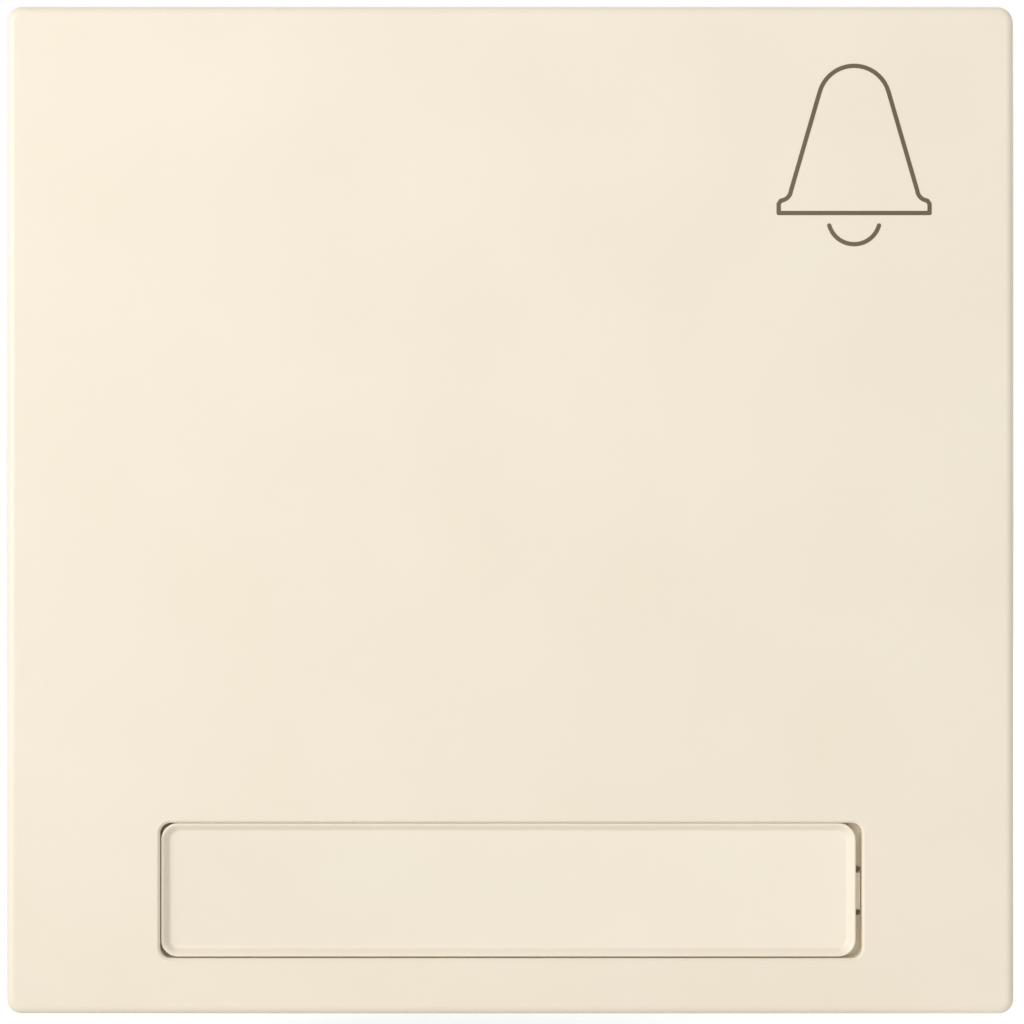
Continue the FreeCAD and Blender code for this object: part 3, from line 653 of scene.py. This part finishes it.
def field_cover():
    """A rounded plate: its front sinks to a flat middle in a soft double curve, its rear takes the card."""
    low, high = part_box("label_window")
    right = high.x - TAB_REACH
    rear = high.y - TOUCH
    middle = (low.z + high.z) / 2
    cover = block(
        (right - low.x, rear - low.y, high.z - low.z), ((low.x + right) / 2, (low.y + rear) / 2, middle)
    )
    points = cover.data.vertices
    pick(
        cover,
        "edges",
        lambda edge: abs(points[edge.vertices[0]].co.y - points[edge.vertices[1]].co.y) > TOUCH,
    )
    bpy.ops.mesh.bevel(offset=COVER_CORNER, segments=14, affect="EDGES")
    leave_edit()
    pick_rim(cover, lambda y: y < low.y + TOUCH)
    bpy.ops.mesh.bevel(offset=COVER_EDGE, segments=3, affect="EDGES")
    leave_edit()
    pick(cover, "polygons", lambda face: face.normal.y < -SQUARE_ON)
    bpy.ops.mesh.inset(thickness=DISH_LAND, depth=0)
    for step in range(DISH_STEPS):
        turn = math.pi * step / DISH_STEPS
        sunk = (math.cos(turn) - math.cos(turn + math.pi / DISH_STEPS)) / 2
        bpy.ops.mesh.inset(thickness=DISH_WIDTH / DISH_STEPS, depth=-DISH_DEPTH * sunk)
    leave_edit()
    pick(cover, "polygons", lambda face: face.normal.y > SQUARE_ON)
    bpy.ops.mesh.inset(thickness=COVER_RIM, depth=0)
    bpy.ops.mesh.extrude_region_move(TRANSFORM_OT_translate={"value": (0, -CARD_ROOM, 0)})
    leave_edit()
    tab = cover_tab(right, low.y, middle)
    use_modifier(cover, "BOOLEAN", operation="UNION", object=tab)
    bpy.data.objects.remove(tab)
    return settle(
        cover, "field_cover", materials["milky_plastic"], "window", ["label_window"]
    )


# Marks on the housing

def raised_line(start, end):
    """A half-round line on the housing's back between two points in millimetres."""
    across = (end[0] - start[0]) * MM
    up = (end[1] - start[1]) * MM
    fresh()
    bpy.ops.mesh.primitive_cylinder_add(
        vertices=20,
        radius=MARK_WIDTH / 2,
        depth=math.hypot(across, up) + MARK_WIDTH,
        location=((start[0] + end[0]) / 2 * MM, HOUSING_BACK, (start[1] + end[1]) / 2 * MM),
        rotation=(0, math.atan2(across, up), 0),
    )
    line = bpy.context.object
    apply_place()
    use_modifier(
        line, "BEVEL", width=MARK_END, segments=4, limit_method="ANGLE", angle_limit=math.radians(60)
    )
    clean(line)
    return line


def raised_ring(place):
    """A half-round ring round a point in millimetres."""
    fresh()
    bpy.ops.mesh.primitive_torus_add(
        major_segments=32,
        minor_segments=10,
        major_radius=CONTACT_END_RADIUS,
        minor_radius=MARK_WIDTH / 2,
        location=(place[0] * MM, HOUSING_BACK, place[1] * MM),
        rotation=(math.pi / 2, 0, 0),
    )
    ring = bpy.context.object
    apply_place()
    return ring


def ejector_mark(place):
    """The round witness of an ejector pin."""
    top = HOUSING_BACK + EJECTOR_HEIGHT
    disc = rod(EJECTOR_RADIUS, HOUSING_BACK, top, 40, place[0] * MM, place[1] * MM)
    use_modifier(
        disc, "BEVEL", width=EJECTOR_EDGE, segments=2, limit_method="ANGLE", angle_limit=math.radians(60)
    )
    clean(disc)
    return disc


def housing_marks():
    """Signs without words that the mould leaves on the back of the housing."""
    marks = [raised_line(*line) for line in WIRE_MARK + CONTACT_MARK]
    marks += [raised_ring(place) for place in CONTACT_ENDS]
    marks += [ejector_mark(place) for place in EJECTOR_PLACES]
    return settle(join(marks), "housing_marks", materials["housing_plastic"], "base", [])


# Finish of the CAD nodes

materials = {
    "cream_plastic": cream_asa(),
    "bell_print": sign_ink(),
    "ivory_card": ivory_card(),
    "milky_plastic": milky_polycarbonate(),
    "carrier_plastic": carrier_acetal(),
    "frame_plastic": frame_pbt(),
    "housing_plastic": housing_polyamide(),
    "lever_plastic": lever_polyamide(),
    "zinc_plated_steel": zinc_plated_steel(),
    "screw_steel": screw_steel(),
    "pin_steel": drawn_steel(),
    "spring_steel": spring_steel(),
    "brass_strip": rolled_brass(),
    "contact_silver": contact_silver(),
}
for part in frame["record"]["subparts"]:
    mesh = nodes[part["node"]].data
    mesh.materials.clear()
    mesh.materials.append(materials[part["material_slot"]])

# Springs, each with a mesh of its own; in the button they shorten when it is pressed
for side, sign in (("left", -1), ("right", 1)):
    node = "return_spring_" + side
    piece = coil_spring("return_coil_" + side, node, RETURN_TURNS)
    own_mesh(piece)
    node = "clamp_spring_" + side
    piece = clamp_strip("clamp_strip_" + side, node, sign)
    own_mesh(piece)
piece = coil_spring("contact_coil", "contact_spring", CONTACT_TURNS)
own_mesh(piece)
frame_screw_set()
field_cover()
housing_marks()


# Floor, lamps and camera

def floor():
    """A plain pale floor just below the button plate."""
    fresh()
    bpy.ops.mesh.primitive_plane_add(size=FLOOR_SIZE, location=(0, 0, cad_low.z - FLOOR_GAP))
    plane = bpy.context.object
    apply_place()
    plane.name = "floor"
    material, tree, shader = new_material("plain_pale_floor", 0.9)
    shader.inputs["Base Color"].default_value = linear("#FAFAFA")
    shader.inputs["Specular IOR Level"].default_value = 0.1
    # What the lamps leave short of white is added for the camera alone, and the shadow stays
    place = add(tree, "ShaderNodeTexCoord", {}).outputs["Object"]
    away = add(tree, "ShaderNodeVectorMath", {0: place}, operation="LENGTH").outputs["Value"]
    short = add(
        tree,
        "ShaderNodeMapRange",
        {
            "Value": away,
            "From Min": FLOOR_FADE_START,
            "From Max": FLOOR_FADE_END,
            "To Min": FLOOR_GLOW_NEAR,
            "To Max": FLOOR_GLOW_FAR,
        },
        interpolation_type="SMOOTHSTEP",
    ).outputs["Result"]
    seen = add(tree, "ShaderNodeLightPath", {}).outputs["Is Camera Ray"]
    glow = add(tree, "ShaderNodeMath", {0: seen, 1: short}, operation="MULTIPLY").outputs[0]
    shader.inputs["Emission Color"].default_value = (1, 1, 1, 1)
    tree.links.new(glow, shader.inputs["Emission Strength"])
    plane.data.materials.append(material)


def lamp(name, place, size, power):
    """A soft square lamp that faces the object's middle."""
    light = bpy.data.lights.new(name, "AREA")
    light.shape = "SQUARE"
    light.size = size
    light.energy = power
    holder = bpy.data.objects.new(name, light)
    holder.location = place
    holder.rotation_euler = (-Vector(place)).to_track_quat("-Z", "Y").to_euler()
    bpy.context.scene.collection.objects.link(holder)


def studio():
    """An even pale surround that shows white in the view and in reflections, and two soft lamps."""
    world = bpy.data.worlds.new("studio")
    bpy.context.scene.world = world
    world.use_nodes = True
    tree = world.node_tree
    background = tree.nodes["Background"]
    path = add(tree, "ShaderNodeLightPath", {})
    seen = path.outputs["Is Camera Ray"]
    for name in ("Is Glossy Ray", "Is Transmission Ray"):
        seen = add(tree, "ShaderNodeMath", {0: seen, 1: path.outputs[name]}, operation="MAXIMUM").outputs[0]
    strength = add(
        tree, "ShaderNodeMapRange", {"Value": seen, "To Min": WORLD_LEVEL, "To Max": 1.0}
    ).outputs["Result"]
    background.inputs["Color"].default_value = (1, 1, 1, 1)
    tree.links.new(strength, background.inputs["Strength"])
    lamp("key", KEY_PLACE, KEY_SIZE, KEY_POWER)
    lamp("rear", REAR_PLACE, REAR_SIZE, REAR_POWER)


def camera():
    """A long lens, straight on, that frames the plate as the photograph does."""
    width = PLATE_WIDTH / PLATE_PIXELS * IMAGE_PIXELS
    distance = width / 2 / (CAMERA_SENSOR / 2 / CAMERA_LENS)
    data = bpy.data.cameras.new("camera")
    data.lens = CAMERA_LENS
    data.sensor_width = CAMERA_SENSOR
    data.clip_start = CAMERA_CLIP
    holder = bpy.data.objects.new("camera", data)
    holder.location = (CAMERA_X, cad_low.y - distance, CAMERA_Z)
    holder.rotation_euler = (math.pi / 2, 0, 0)
    bpy.context.scene.collection.objects.link(holder)
    bpy.context.scene.camera = holder


floor()
studio()
camera()
bpy.context.scene.view_settings.view_transform = "Standard"
